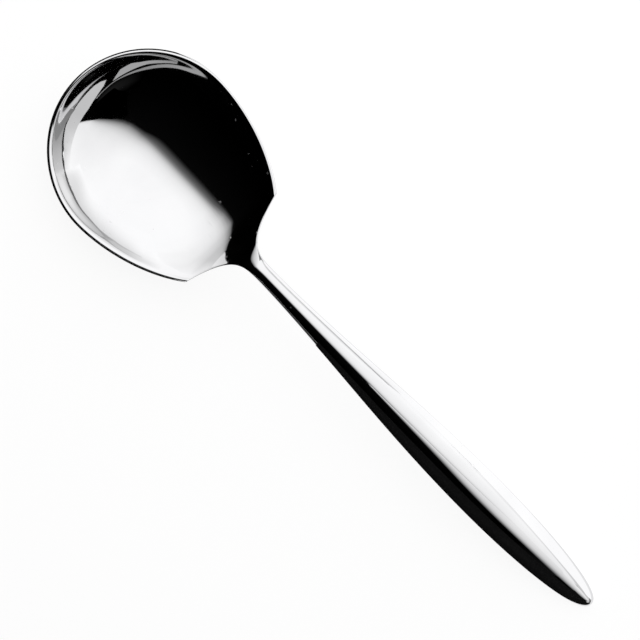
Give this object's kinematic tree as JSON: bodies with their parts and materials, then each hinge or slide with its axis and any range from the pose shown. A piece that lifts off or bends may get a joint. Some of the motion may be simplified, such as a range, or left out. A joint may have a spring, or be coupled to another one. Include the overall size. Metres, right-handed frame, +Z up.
{
  "type": "serving spoon",
  "caption": "Polished steel serving spoon with a deep round bowl, cut shoulders, a thin neck and a full almond-shaped hollow handle.",
  "frame": {"origin": "on the table, under the middle of the spoon's length", "axes": "+X along the spoon from the bowl to the end of the handle, +Y to the side, +Z up out of the bowl"},
  "size_m": [0.2398, 0.067, 0.0233],
  "materials": {
    "polished_steel": "mirror polish with fine wipe marks",
    "braze": "polished flush",
    "cement": "rough, unseen inside the handle"
  },
  "bodies": {
    "root": {"bowl": "polished_steel", "front_shell": "polished_steel", "back_shell": "polished_steel", "seam_braze": "braze", "neck_braze": "braze", "tang_cement": "cement"}
  },
  "joints": []
}
